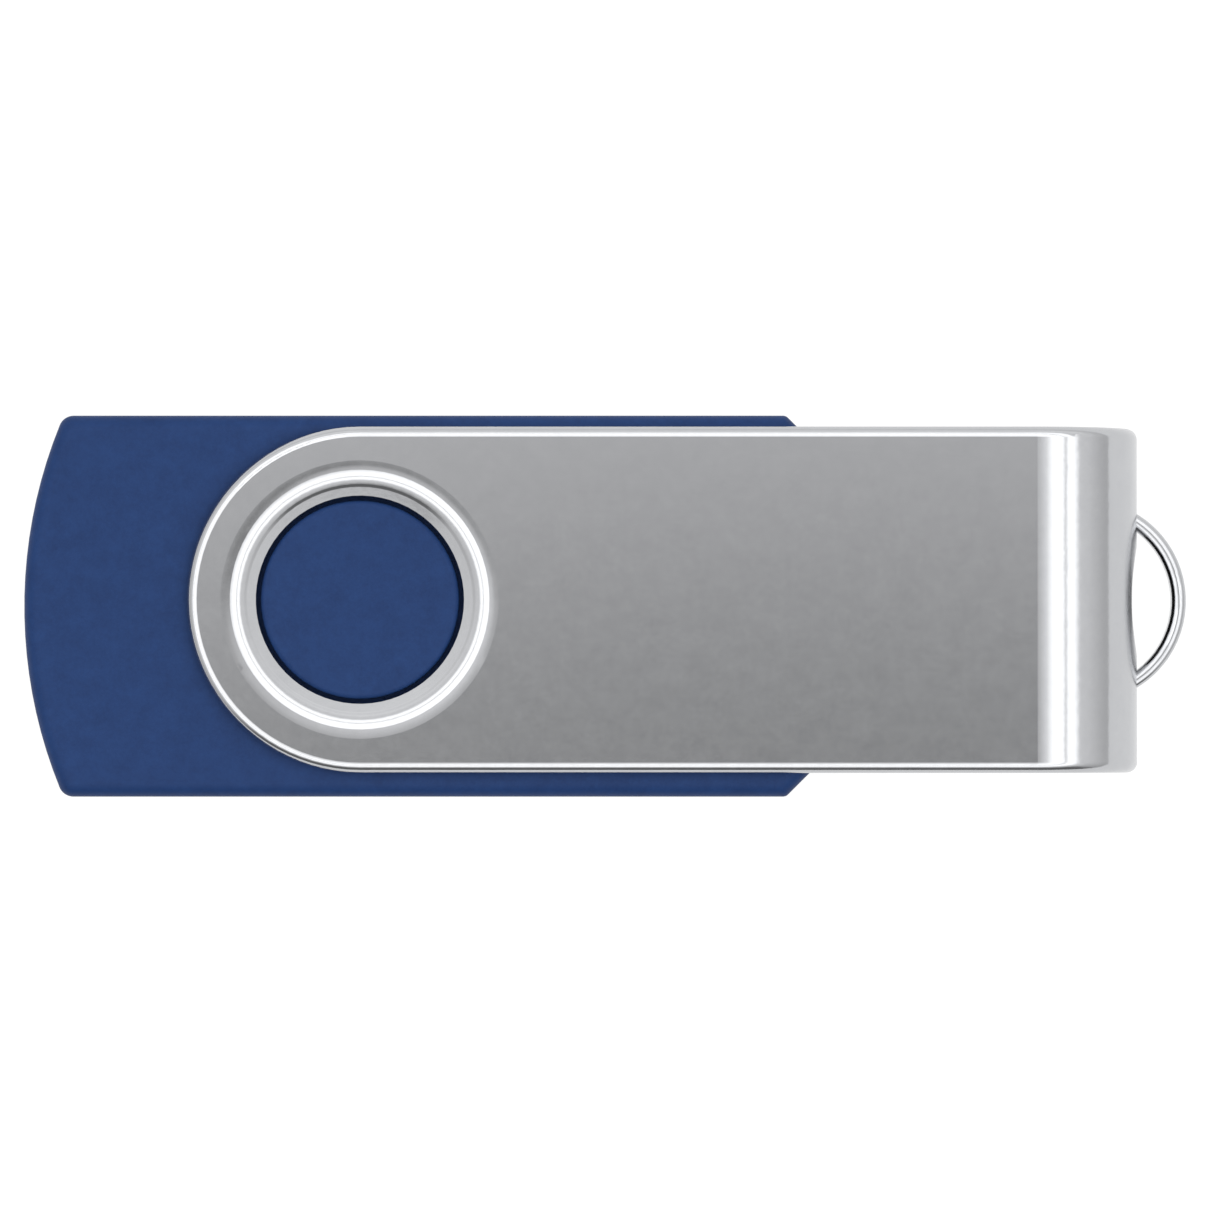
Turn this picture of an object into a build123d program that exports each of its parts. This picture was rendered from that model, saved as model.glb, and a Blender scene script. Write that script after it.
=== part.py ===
"""Swivel-cover USB flash drive, modelled piece by piece.

A two-part moulded housing carries the circuit board and a USB Standard-A plug. A stamped
steel cover, bent into a U, turns round the housing on two dimples that sit in ring grooves.
The drive lies flat with the plug covered. All sizes are in millimetres.
Pieces are drawn with x = 0 at the pivot, y = 0 on the housing's long middle line and z = 0 at
its mid-plane. They are moved at the end so that the origin is the centre of the bottom face of
the overall box: +X runs from the housing's rear towards the cover's loop, and +Z is up.
"""

from build123d import *

import os
from math import acos, cos, radians, sin, sqrt, tan

# ------------------------------------------------------------------ housing
HOUSING_WIDTH = 18.9
HOUSING_THICKNESS = 8.4
PIVOT_TO_REAR = 16.68  # pivot axis to the middle of the arched rear end
PIVOT_TO_FRONT = 23.7  # pivot axis to the flat face that the plug comes out of
REAR_ARC_RADIUS = 23.9
FRONT_CHAMFER = 2.6
REAR_CORNER = 0.75  # radius of the two upright corners at the rear
FRONT_CORNER = 0.35  # radius of the four at the front
HOUSING_EDGE = 0.8  # radius round the top and bottom faces
PARTING_BEVEL = 0.1  # bevel on each half where the two meet
SIDE_WALL = 1.2
FACE_WALL = 1.2
FRONT_WALL = 1.8
LIP_THICKNESS = 0.5  # tongue on the lower half that fits inside the upper half
LIP_HEIGHT = 0.7
LIP_CLEARANCE = 0.06

# ------------------------------------------------------------------ pivot
PIVOT_ASIDE = 0.3  # pivot axis to the housing's long middle line
PIVOT_DISC_RADIUS = 4.9
PIVOT_DISC_HEIGHT = 0.55  # above the housing's face
PIVOT_DISC_EDGE = 0.25
PIVOT_CLEARANCE = 0.22  # between the disc and the hole in the cover
GROOVE_CLEARANCE = 0.2  # under and around the cover's dimple

# ------------------------------------------------------------------ swivel cover
COVER_SIDE_INSET = 0.88  # from the housing's side to the cover's
COVER_SHEET = 0.8
COVER_BEYOND_PLUG = 1.9  # from the plug's tip to the inside of the closed end
COVER_CLEARANCE = 0.2  # between each plate and the housing's face
COVER_OUTER_EDGE = 0.52  # rounding of the sheet's outside edge
COVER_INNER_EDGE = 0.1
DIMPLE_DEPTH = 0.62
DIMPLE_FIRST_BEND = 0.6  # inside radius of the bend that turns down
DIMPLE_LAST_BEND = 0.5  # inside radius of the bend that eases the slope
DIMPLE_LEAD_BEND = 6.0  # gentle bend where the flat plate starts to dip
DIMPLE_LEAD_ANGLE = 4.5  # degrees turned by that bend
DIMPLE_SLOPE = 35.0  # degrees
DIMPLE_RIM = 0.45  # width of the gentler ring between the last bend and the hole
DIMPLE_RIM_SLOPE = 29.0  # degrees
HOLE_EDGE = 0.08
LOOP_PROJECTION = 2.43  # past the closed end
LOOP_SPAN = 8.65  # across the loop's outside where it leaves the closed end
LOOP_THICKNESS = 0.72
LOOP_HEIGHT = 1.6
LOOP_EDGE = 0.34
EYE_HEIGHT = 3.8  # opening in the closed end, behind the loop
EYE_MARGIN = 0.6  # wall left under each root of the loop

# ------------------------------------------------------------------ USB plug
PLUG_WIDTH = 12.0
PLUG_THICKNESS = 4.5
PLUG_LENGTH = 18.75
PLUG_EXPOSED = 12.3
PLUG_SHEET = 0.3
PLUG_CORNER = 0.65
PLUG_TIP_BEVEL = 0.12
PLUG_FIT = 0.05  # gap around the shell where it passes through the housing
WINDOW_LENGTH = 2.0  # along the plug
WINDOW_WIDTH = 2.5
WINDOW_FROM_TIP = 5.16
WINDOW_PITCH = 5.7
SEAM_GAP = 0.08
SEAM_KEY_LENGTH = 2.2
SEAM_KEY_DEPTH = 0.9
LEG_LENGTH = 3.2  # side tabs that are soldered into the board
LEG_HEIGHT = 1.8
TONGUE_THICKNESS = 1.9
TONGUE_FROM_TIP = 0.35
CAVITY_DEPTH = 9.8
INSULATOR_FIT = 0.02
BLOCK_FROM_REAR = 0.15

# ------------------------------------------------------------------ contacts
CONTACT_WIDTH = 1.0
CONTACT_THICKNESS = 0.25
CONTACT_PROUD = 0.06  # above the tongue
POWER_PITCH = 7.0
DATA_PITCH = 2.0
POWER_FROM_TIP = 1.3
DATA_FROM_TIP = 2.3
CONTACT_NOSE = 0.15
RAMP_BEHIND_CAVITY = 1.0  # where a contact starts to rise inside the block
RAMP_LENGTH = 1.5
TAIL_LENGTH = 2.2  # past the plug's rear

# ------------------------------------------------------------------ circuit board and its parts
BOARD_THICKNESS = 0.8
BOARD_BESIDE_PLUG = 0.4  # board left outside each side of the plug
BOARD_TO_REAR_WALL = 1.3
BOARD_TO_PLUG = 0.12
BOARD_CORNER = 2.5
NOTCH_CLEARANCE = 0.1
# A package or chip is (along X, along Y, height).
FLASH_BODY = (18.4, 12.0, 1.0)
FLASH_FROM_REAR = 2.0  # board's rear edge to the tips of the leads
FLASH_LEADS = 24  # on each end
FLASH_LEAD_REACH = 0.8
CONTROLLER_BODY = (7.0, 7.0, 1.0)
CONTROLLER_TO_TAILS = 1.6  # tips of the leads to the contacts' tails
CONTROLLER_LEADS = 12  # on each side
CONTROLLER_LEAD_REACH = 1.0
LEAD_PITCH = 0.5
LEAD_WIDTH = 0.22
LEAD_THICKNESS = 0.13
LEAD_FOOT = 0.45
STANDOFF = 0.1
PIN_ONE_RADIUS = 0.4
PIN_ONE_INSET = 1.0
PIN_ONE_DEPTH = 0.08
CRYSTAL_BASE = (3.2, 2.5, 0.35)
CRYSTAL_LID = (2.8, 2.1, 0.35)
CHIP_WIDTH = 0.8
CHIP_LENGTH = 1.0  # of the ceramic between the two metal ends
CHIP_END = 0.3
CAPACITOR_HEIGHT = 0.7
RESISTOR_HEIGHT = 0.45
LED_BASE = (0.8, 1.6, 0.3)
LED_LENS = (0.8, 1.0, 0.35)
LED_FROM_REAR = 1.8
# Places of the small parts: back from the tips of the controller's leads, and across.
CRYSTAL_PLACE = (2.6, 2.6)
CAPACITOR_PLACES = [(1.4, -4.0), (1.4, -1.8), (3.2, -4.0), (3.2, -1.8), (5.6, 3.6), (5.6, 1.4)]
RESISTOR_PLACES = [(5.6, -4.0), (5.6, -1.8), (7.8, -2.9), (7.8, 2.5)]
SOLDER_RISE = 0.3
SOLDER_REACH = 0.35

# ------------------------------------------------------------------ posts that hold the board
POST_RADIUS = 0.95
POST_SHOULDER = 1.35  # radius that bears on the board
POST_FROM_LEGS = 1.25
POST_BESIDE_BOARD = 0.6
POST_GAP = 0.05  # between each shoulder and the board
PIN_RADIUS = 0.5
PIN_HEIGHT = 1.3
PIN_FIT = 0.05
RIB_THICKNESS = 1.0
RIB_FROM_PLUG_REAR = 1.4

# ------------------------------------------------------------------ sizes that follow from those above
HALF_HOUSING = HOUSING_THICKNESS / 2
CAVITY_HALF_HEIGHT = HALF_HOUSING - FACE_WALL
COVER_WIDTH = HOUSING_WIDTH - 2 * COVER_SIDE_INSET
HALF_COVER = HALF_HOUSING + COVER_CLEARANCE + COVER_SHEET
PLUG_TIP = PIVOT_TO_FRONT + PLUG_EXPOSED
PLUG_REAR = PLUG_TIP - PLUG_LENGTH
TAIL_END = PLUG_REAR - TAIL_LENGTH
LEG_END = PLUG_REAR - LEG_LENGTH
LEG_INNER_Y = PLUG_WIDTH / 2 - PLUG_SHEET
COVER_REACH = PLUG_TIP + COVER_BEYOND_PLUG + COVER_SHEET
HALF_BOARD = BOARD_THICKNESS / 2
HALF_BOARD_WIDTH = PLUG_WIDTH / 2 + BOARD_BESIDE_PLUG
BOARD_REAR = -PIVOT_TO_REAR + SIDE_WALL + BOARD_TO_REAR_WALL
BOARD_FRONT = PLUG_REAR - BOARD_TO_PLUG
FLASH_X = BOARD_REAR + FLASH_FROM_REAR + FLASH_LEAD_REACH + FLASH_BODY[0] / 2
CONTROLLER_X = TAIL_END - CONTROLLER_TO_TAILS - CONTROLLER_LEAD_REACH - CONTROLLER_BODY[0] / 2
SMALL_PARTS_X = CONTROLLER_X - CONTROLLER_BODY[0] / 2 - CONTROLLER_LEAD_REACH

# The dimple turns down through a gentle bend and a tight one, then a last one eases its slope.
# One that is too shallow for the full slope turns through a smaller angle, with no straight part.
HOLE_RADIUS = PIVOT_DISC_RADIUS + PIVOT_CLEARANCE
DIMPLE_CREST = DIMPLE_FIRST_BEND + COVER_SHEET  # radius of that bend on the outside
LEAD_TURN = radians(DIMPLE_LEAD_ANGLE)
LEAD_DROP = DIMPLE_LEAD_BEND * (1 - cos(LEAD_TURN))
RIM_TURN = radians(DIMPLE_RIM_SLOPE)
RIM_DROP = DIMPLE_RIM * tan(RIM_TURN)
LEVEL_DROP = (
    LEAD_DROP + DIMPLE_CREST * cos(LEAD_TURN) + DIMPLE_LAST_BEND * cos(RIM_TURN) + RIM_DROP
)
SHALLOWEST_COSINE = (LEVEL_DROP - DIMPLE_DEPTH) / (DIMPLE_CREST + DIMPLE_LAST_BEND)
DIMPLE_TURN = acos(max(SHALLOWEST_COSINE, cos(radians(DIMPLE_SLOPE))))
DIMPLE_BENDS_DROP = LEVEL_DROP - (DIMPLE_CREST + DIMPLE_LAST_BEND) * cos(DIMPLE_TURN)
DIMPLE_STRAIGHT = (DIMPLE_DEPTH - DIMPLE_BENDS_DROP) / sin(DIMPLE_TURN)
DIMPLE_SHOULDER = (
    HOLE_RADIUS
    + DIMPLE_RIM
    + (DIMPLE_CREST + DIMPLE_LAST_BEND) * sin(DIMPLE_TURN)
    - DIMPLE_LAST_BEND * sin(RIM_TURN)
    + DIMPLE_STRAIGHT * cos(DIMPLE_TURN)
)
DIMPLE_RADIUS = DIMPLE_SHOULDER + (DIMPLE_LEAD_BEND - DIMPLE_CREST) * sin(LEAD_TURN)
GROOVE_RADIUS = DIMPLE_SHOULDER + GROOVE_CLEARANCE / 2
GROOVE_FLOOR = HALF_COVER - DIMPLE_DEPTH - COVER_SHEET / cos(RIM_TURN) - GROOVE_CLEARANCE

LOOP_OUTER_RADIUS = (LOOP_SPAN**2 / 4 + LOOP_PROJECTION**2) / (2 * LOOP_PROJECTION)
LOOP_INNER_RADIUS = LOOP_OUTER_RADIUS - LOOP_THICKNESS
LOOP_CENTRE_X = COVER_REACH + LOOP_PROJECTION - LOOP_OUTER_RADIUS
EYE_WIDTH = 2 * (sqrt(LOOP_INNER_RADIUS**2 - (COVER_REACH - LOOP_CENTRE_X) ** 2) - EYE_MARGIN)
ORIGIN_SHIFT = ((PIVOT_TO_REAR - COVER_REACH - LOOP_PROJECTION) / 2, 0, HALF_COVER)


# ------------------------------------------------------------------ drawing helpers
def block(x_range, y_range, z_range):
    """A box between two places along each axis."""
    sizes = [high - low for low, high in (x_range, y_range, z_range)]
    middle = [(low + high) / 2 for low, high in (x_range, y_range, z_range)]
    return Pos(*middle) * Box(*sizes)


def block_at(x, y, base, size):
    """A box of a given size standing on z = base, centred on (x, y)."""
    length, width, height = size
    return Pos(x, y, base + height / 2) * Box(length, width, height)


def disc(radius, low, high, x=0, y=0):
    """An upright cylinder between two heights."""
    return Pos(x, y, (low + high) / 2) * Cylinder(radius, high - low)


def ring(outer_radius, inner_radius, low, high, y=0):
    """An upright ring between two heights, about x = 0."""
    return disc(outer_radius, low, high, 0, y) - disc(inner_radius, low, high, 0, y)


def flipped(shape):
    """The same piece turned upside down by a half turn about X, which keeps its hand."""
    return Rot(180, 0, 0) * shape


def edges_at_height(shape, height):
    """Edges that lie wholly at one height."""
    return shape.edges().filter_by_position(Axis.Z, height - 0.001, height + 0.001)


def plug_section(outset):
    """Rounded rectangle across the plug, grown all round from the shell's outside."""
    corner = max(PLUG_CORNER + outset, 0.1)
    section = RectangleRounded(PLUG_WIDTH + 2 * outset, PLUG_THICKNESS + 2 * outset, corner)
    return Plane.YZ * section


def along_x(section, start, end):
    """Extrudes a section drawn on the YZ plane between two places along X."""
    return Pos(start, 0, 0) * extrude(section, end - start, dir=(1, 0, 0))


# ------------------------------------------------------------------ housing
def housing_outline(inset):
    """Plan shape of the housing, taken in all round: arched rear, straight sides, cut front corners."""
    half_width = HOUSING_WIDTH / 2 - inset
    front = PIVOT_TO_FRONT - inset
    arc_radius = REAR_ARC_RADIUS - inset
    arc_centre = REAR_ARC_RADIUS - PIVOT_TO_REAR
    rear_corner = arc_centre - sqrt(arc_radius**2 - half_width**2)
    # x + y is the same all along the front corner's 45 degree cut
    cut = PIVOT_TO_FRONT + HOUSING_WIDTH / 2 - FRONT_CHAMFER - inset * sqrt(2)
    rear = ThreePointArc(
        (rear_corner, half_width), (arc_centre - arc_radius, 0), (rear_corner, -half_width)
    )
    sides = Polyline(
        (rear_corner, -half_width),
        (cut - half_width, -half_width),
        (front, front - cut),
        (front, cut - front),
        (cut - half_width, half_width),
        (rear_corner, half_width),
    )
    return make_face(rear + sides)


def housing_block(pivot_y):
    """Outside of the upper half, from the parting plane up, before anything is cut."""
    solid = extrude(housing_outline(0), HALF_HOUSING)
    solid = fillet(solid.edges().filter_by(Axis.Z).sort_by(Axis.X)[:2], REAR_CORNER)
    solid = fillet(solid.edges().filter_by(Axis.Z).sort_by(Axis.X)[-4:], FRONT_CORNER)
    solid = fillet(edges_at_height(solid, HALF_HOUSING), HOUSING_EDGE)
    solid = chamfer(edges_at_height(solid, 0), PARTING_BEVEL)
    disc_top = HALF_HOUSING + PIVOT_DISC_HEIGHT
    pivot_disc = disc(PIVOT_DISC_RADIUS, 0, disc_top, 0, pivot_y)
    pivot_disc = fillet(edges_at_height(pivot_disc, disc_top), PIVOT_DISC_EDGE)
    groove = ring(GROOVE_RADIUS, PIVOT_DISC_RADIUS, GROOVE_FLOOR, HALF_HOUSING + 1, pivot_y)
    return solid - groove + pivot_disc


def front_wall():
    """The space that the front wall fills, at full width and height."""
    x_range = (PIVOT_TO_FRONT - FRONT_WALL, PIVOT_TO_FRONT)
    return block(x_range, (-HOUSING_WIDTH, HOUSING_WIDTH), (-HALF_HOUSING, HALF_HOUSING))


def housing_cavity(pivot_y):
    """Space inside the upper half: it follows the groove and the disc at an even wall."""
    space = extrude(housing_outline(SIDE_WALL), CAVITY_HALF_HEIGHT)
    inside_disc = PIVOT_DISC_RADIUS - SIDE_WALL
    under_groove = ring(
        GROOVE_RADIUS + SIDE_WALL, inside_disc, GROOVE_FLOOR - FACE_WALL, CAVITY_HALF_HEIGHT + 1, pivot_y
    )
    under_disc = disc(inside_disc, 0, HALF_HOUSING + PIVOT_DISC_HEIGHT - FACE_WALL, 0, pivot_y)
    return space - under_groove + under_disc - front_wall()


def plug_rib():
    """Cross rib in the upper half that steadies the plug's shell behind the front wall."""
    x = PLUG_REAR + RIB_FROM_PLUG_REAR
    half_width = HOUSING_WIDTH / 2 - SIDE_WALL / 2
    top = CAVITY_HALF_HEIGHT + FACE_WALL / 2
    return block((x, x + RIB_THICKNESS), (-half_width, half_width), (0, top))


def post_places():
    """Middle of each post: two in notches beside the plug's legs, two at the board's cut corners."""
    front_x = LEG_END - POST_FROM_LEGS
    front_y = HALF_BOARD_WIDTH + POST_BESIDE_BOARD
    out_of_corner = BOARD_CORNER / 2 - (POST_RADIUS + NOTCH_CLEARANCE) / sqrt(2)
    rear_x = BOARD_REAR + out_of_corner
    rear_y = HALF_BOARD_WIDTH - out_of_corner
    return [(front_x, front_y), (front_x, -front_y), (rear_x, rear_y), (rear_x, -rear_y)]


def post(x, y):
    """Shouldered post in the upper half: it passes the board's edge and bears on the board."""
    top = CAVITY_HALF_HEIGHT + FACE_WALL / 2
    shoulder = disc(POST_SHOULDER, HALF_BOARD + POST_GAP, top, x, y)
    return disc(POST_RADIUS, 0, top, x, y) + shoulder


def housing_half(pivot_y):
    """What the two halves have in common, as an upper half with its pivot at pivot_y."""
    half = housing_block(pivot_y) - housing_cavity(pivot_y) + plug_rib()
    for x, y in post_places():
        half += post(x, y)
    return half - along_x(plug_section(PLUG_FIT), PLUG_REAR, PIVOT_TO_FRONT + 1)


def lip_band(outer_inset, inner_inset, height):
    """Band inside the side and rear walls, between two insets, from the parting plane up."""
    band = extrude(housing_outline(outer_inset), height) - extrude(housing_outline(inner_inset), height)
    return band - front_wall()


def upper_housing():
    groove_inset = SIDE_WALL - LIP_THICKNESS - LIP_CLEARANCE
    half = housing_half(PIVOT_ASIDE)
    half -= lip_band(groove_inset, SIDE_WALL + LIP_CLEARANCE, LIP_HEIGHT + LIP_CLEARANCE)
    for x, y in post_places():
        half -= disc(PIN_RADIUS + PIN_FIT, 0, PIN_HEIGHT + 2 * PIN_FIT, x, y)
    return half


def lower_housing():
    half = flipped(housing_half(-PIVOT_ASIDE)) + lip_band(SIDE_WALL - LIP_THICKNESS, SIDE_WALL, LIP_HEIGHT)
    for x, y in post_places():
        half += disc(PIN_RADIUS, -PIN_FIT, PIN_HEIGHT, x, y)
    return half


# ------------------------------------------------------------------ swivel cover
def cover_bend(inset):
    """Side view of the U, taken in all round, on the XZ plane."""
    radius = HALF_COVER - inset
    bend_centre = COVER_REACH - HALF_COVER
    end = -COVER_WIDTH
    bend = ThreePointArc((bend_centre, radius), (bend_centre + radius, 0), (bend_centre, -radius))
    plates = Polyline((bend_centre, -radius), (end, -radius), (end, radius), (bend_centre, radius))
    return make_face(Plane.XZ * (bend + plates))


def cover_strip():
    """The sheet bent into a U, with round ends about the pivot and rounded edges."""
    half_width = COVER_WIDTH / 2
    outside = extrude(cover_bend(0), half_width, both=True)
    inside = extrude(cover_bend(COVER_SHEET), COVER_WIDTH, both=True)
    round_end = disc(half_width, -HALF_COVER, HALF_COVER)
    straight = block((0, COVER_REACH), (-half_width, half_width), (-HALF_COVER, HALF_COVER))
    strip = outside & (round_end + straight)
    outer_edge = edges_at_height(strip, HALF_COVER).sort_by(Axis.X)[0]
    strip = fillet(outer_edge, COVER_OUTER_EDGE) - inside
    inner_edge = edges_at_height(strip, HALF_COVER - COVER_SHEET).sort_by(Axis.X)[0]
    return fillet(inner_edge, COVER_INNER_EDGE)


def dimple_line(depth):
    """Section of the pressed ring on the XZ plane, at a depth under the plate's outside.

    It runs inwards from the flat plate to the hole. Each point is a place on the outside,
    moved down along the normal there, which leans inwards by the angle turned so far.
    """
    top = HALF_COVER
    lead_centre = (DIMPLE_RADIUS, top - DIMPLE_LEAD_BEND)
    crest_centre = (
        DIMPLE_SHOULDER,
        lead_centre[1] + (DIMPLE_LEAD_BEND - DIMPLE_CREST) * cos(LEAD_TURN),
    )
    foot_centre = (
        HOLE_RADIUS + DIMPLE_RIM - DIMPLE_LAST_BEND * sin(RIM_TURN),
        top - DIMPLE_DEPTH + RIM_DROP + DIMPLE_LAST_BEND * cos(RIM_TURN),
    )

    def over(centre, radius, turn):
        return (centre[0] - (radius - depth) * sin(turn), centre[1] + (radius - depth) * cos(turn))

    def under(centre, radius, turn):
        return (centre[0] + (radius + depth) * sin(turn), centre[1] - (radius + depth) * cos(turn))

    def bend(side, centre, radius, first, last):
        turns = (first, (first + last) / 2, last)
        return ThreePointArc(*[side(centre, radius, turn) for turn in turns])

    lead = bend(over, lead_centre, DIMPLE_LEAD_BEND, 0, LEAD_TURN)
    crest = bend(over, crest_centre, DIMPLE_CREST, LEAD_TURN, DIMPLE_TURN)
    foot = bend(under, foot_centre, DIMPLE_LAST_BEND, DIMPLE_TURN, RIM_TURN)
    hole_edge = (HOLE_RADIUS, top - DIMPLE_DEPTH - depth / cos(RIM_TURN))
    line = [lead, crest, foot, Line(foot @ 1, hole_edge)]
    if DIMPLE_STRAIGHT > 0.001:
        line.append(Line(crest @ 1, foot @ 0))
    return line


def dimple():
    """Pressed ring about the pivot in the top plate, with the hole's edges rounded."""
    outside = dimple_line(0)
    inside = dimple_line(COVER_SHEET)
    rim = Line(outside[0] @ 0, inside[0] @ 0)
    hole = Line(outside[3] @ 1, inside[3] @ 1)
    section = make_face(Plane.XZ * (Curve() + outside + inside + [rim, hole]))
    section = fillet(section.vertices().sort_by(Axis.X)[:2], HOLE_EDGE)
    return revolve(section, Axis.Z)


def lanyard_loop():
    """Arched band raised out of the closed end, let into half of the sheet at each root."""
    band = ring(LOOP_OUTER_RADIUS, LOOP_INNER_RADIUS, -LOOP_HEIGHT / 2, LOOP_HEIGHT / 2)
    band = fillet(band.edges().filter_by(GeomType.CIRCLE), LOOP_EDGE)
    band = Pos(LOOP_CENTRE_X, 0, 0) * band
    root = COVER_REACH - COVER_SHEET / 2
    return band & block(
        (root, COVER_REACH + LOOP_PROJECTION + 1), (-LOOP_SPAN, LOOP_SPAN), (-LOOP_HEIGHT, LOOP_HEIGHT)
    )


def swivel_cover():
    """Drawn about the pivot axis, then moved aside with it."""
    cover = cover_strip()
    cover -= disc(DIMPLE_RADIUS, -HALF_COVER - 1, HALF_COVER + 1)
    pressed = dimple()
    cover = cover + pressed + flipped(pressed)
    eye = Plane.YZ * Ellipse(EYE_WIDTH / 2, EYE_HEIGHT / 2)
    cover -= along_x(eye, COVER_REACH - 2 * COVER_SHEET, COVER_REACH + 1)
    return Pos(0, PIVOT_ASIDE, 0) * (cover + lanyard_loop())


# ------------------------------------------------------------------ USB plug
def plug_seam():
    """Narrow joint along the underside of the folded shell, with one dovetail key."""
    key_start = PLUG_REAR + PLUG_LENGTH / 2 - SEAM_KEY_LENGTH / 2
    key_end = key_start + SEAM_KEY_LENGTH
    flare = SEAM_KEY_LENGTH / 8
    path = Polyline(
        (PLUG_REAR - 1, 0),
        (key_start, 0),
        (key_start - flare, SEAM_KEY_DEPTH),
        (key_end + flare, SEAM_KEY_DEPTH),
        (key_end, 0),
        (PLUG_TIP + 1, 0),
    )
    slit = extrude(trace(path, SEAM_GAP), 2 * PLUG_SHEET, both=True)
    return Pos(0, 0, -PLUG_THICKNESS / 2) * slit


def plug_shell():
    shell = along_x(plug_section(0), PLUG_REAR, PLUG_TIP)
    tip_edges = shell.edges().filter_by_position(Axis.X, PLUG_TIP - 0.001, PLUG_TIP + 0.001)
    shell = chamfer(tip_edges, PLUG_TIP_BEVEL)
    shell -= along_x(plug_section(-PLUG_SHEET), PLUG_REAR - 1, PLUG_TIP + 1)
    window_x = PLUG_TIP - WINDOW_FROM_TIP - WINDOW_LENGTH / 2
    for side in (-1, 1):
        shell -= Pos(window_x, side * WINDOW_PITCH / 2, 0) * Box(
            WINDOW_LENGTH, WINDOW_WIDTH, PLUG_THICKNESS + 1
        )
    shell -= plug_seam()
    for side in (-1, 1):
        y_range = sorted((side * LEG_INNER_Y, side * PLUG_WIDTH / 2))
        shell += block((LEG_END, PLUG_REAR), y_range, (-LEG_HEIGHT / 2, LEG_HEIGHT / 2))
    return shell


def contact(y, from_tip):
    """One contact: a strip along the tongue that steps up inside the block to a tail on the board."""
    top = CONTACT_PROUD
    bottom = CONTACT_PROUD - CONTACT_THICKNESS
    tail_bottom = HALF_BOARD
    tail_top = HALF_BOARD + CONTACT_THICKNESS
    front = PLUG_TIP - from_tip
    ramp_front = PLUG_TIP - CAVITY_DEPTH - RAMP_BEHIND_CAVITY
    ramp_rear = ramp_front - RAMP_LENGTH
    profile = Polyline(
        (front, bottom),
        (front, top - CONTACT_NOSE),
        (front - CONTACT_NOSE, top),
        (ramp_front, top),
        (ramp_rear, tail_top),
        (TAIL_END, tail_top),
        (TAIL_END, tail_bottom),
        (ramp_rear, tail_bottom),
        (ramp_front, bottom),
        (front, bottom),
    )
    strip = extrude(make_face(Plane.XZ * profile), CONTACT_WIDTH / 2, both=True)
    return Pos(0, y, 0) * strip


def contact_places():
    """Middle of each contact: power at +Y, then the two data lines and ground, as in any such plug."""
    return [POWER_PITCH / 2, DATA_PITCH / 2, -DATA_PITCH / 2, -POWER_PITCH / 2]


def contacts():
    """Every contact by name, in order across the plug. The outer two reach nearer the tip."""
    names = ["contact_power", "contact_data_minus", "contact_data_plus", "contact_ground"]
    from_tip = [POWER_FROM_TIP, DATA_FROM_TIP, DATA_FROM_TIP, POWER_FROM_TIP]
    return {name: contact(y, tip) for name, y, tip in zip(names, contact_places(), from_tip)}


def plug_insulator():
    """Moulded block that fills the shell's rear, and the tongue that carries the contacts."""
    section = plug_section(-PLUG_SHEET - INSULATOR_FIT)
    inside = along_x(section, PLUG_REAR + BLOCK_FROM_REAR, PLUG_TIP - TONGUE_FROM_TIP)
    tongue_top = -(PLUG_THICKNESS / 2 - PLUG_SHEET - TONGUE_THICKNESS) + INSULATOR_FIT
    open_space = block(
        (PLUG_TIP - CAVITY_DEPTH, PLUG_TIP), (-PLUG_WIDTH, PLUG_WIDTH), (tongue_top, PLUG_THICKNESS)
    )
    insulator = inside - open_space
    for strip in contacts().values():
        insulator -= strip
    return insulator


# ------------------------------------------------------------------ circuit board and its parts
def circuit_board():
    """Board with cut rear corners, slots for the shell's legs and notches for the front posts."""
    board = block(
        (BOARD_REAR, BOARD_FRONT), (-HALF_BOARD_WIDTH, HALF_BOARD_WIDTH), (-HALF_BOARD, HALF_BOARD)
    )
    board = chamfer(board.edges().filter_by(Axis.Z).sort_by(Axis.X)[:2], BOARD_CORNER)
    slot_x = (LEG_END - NOTCH_CLEARANCE, BOARD_FRONT + 1)
    inner = LEG_INNER_Y - NOTCH_CLEARANCE
    outer = PLUG_WIDTH / 2 + NOTCH_CLEARANCE
    for side in (-1, 1):
        board -= block(slot_x, sorted((side * inner, side * outer)), (-HALF_BOARD, HALF_BOARD))
    for x, y in post_places()[:2]:
        board -= disc(POST_RADIUS + NOTCH_CLEARANCE, -HALF_BOARD, HALF_BOARD, x, y)
    return board


def gull_lead(body_edge, body_middle, reach):
    """One lead that points along +X from z = 0 up: a foot, a slope and a short top."""
    foot_end = body_edge + reach
    foot_start = foot_end - LEAD_FOOT
    top_end = body_edge + (reach - LEAD_FOOT) / 3
    over = LEAD_THICKNESS / 2  # keeps the slope about as thick as the flats
    profile = Polyline(
        (body_edge, body_middle),
        (top_end, body_middle),
        (foot_start, 0),
        (foot_end, 0),
        (foot_end, LEAD_THICKNESS),
        (foot_start + over, LEAD_THICKNESS),
        (top_end + over, body_middle + LEAD_THICKNESS),
        (body_edge, body_middle + LEAD_THICKNESS),
        (body_edge, body_middle),
    )
    return extrude(make_face(Plane.XZ * profile), LEAD_WIDTH / 2, both=True)


def lead_rows(body, reach, count, turns):
    """Rows of leads along the sides of a package, one for each turn about its centre."""
    lead = gull_lead(body[0] / 2, STANDOFF + body[2] / 2, reach)
    first = -(count - 1) * LEAD_PITCH / 2
    places = [first + i * LEAD_PITCH for i in range(count)]
    return [Rot(0, 0, turn) * Pos(0, y, 0) * lead for turn in turns for y in places]


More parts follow.
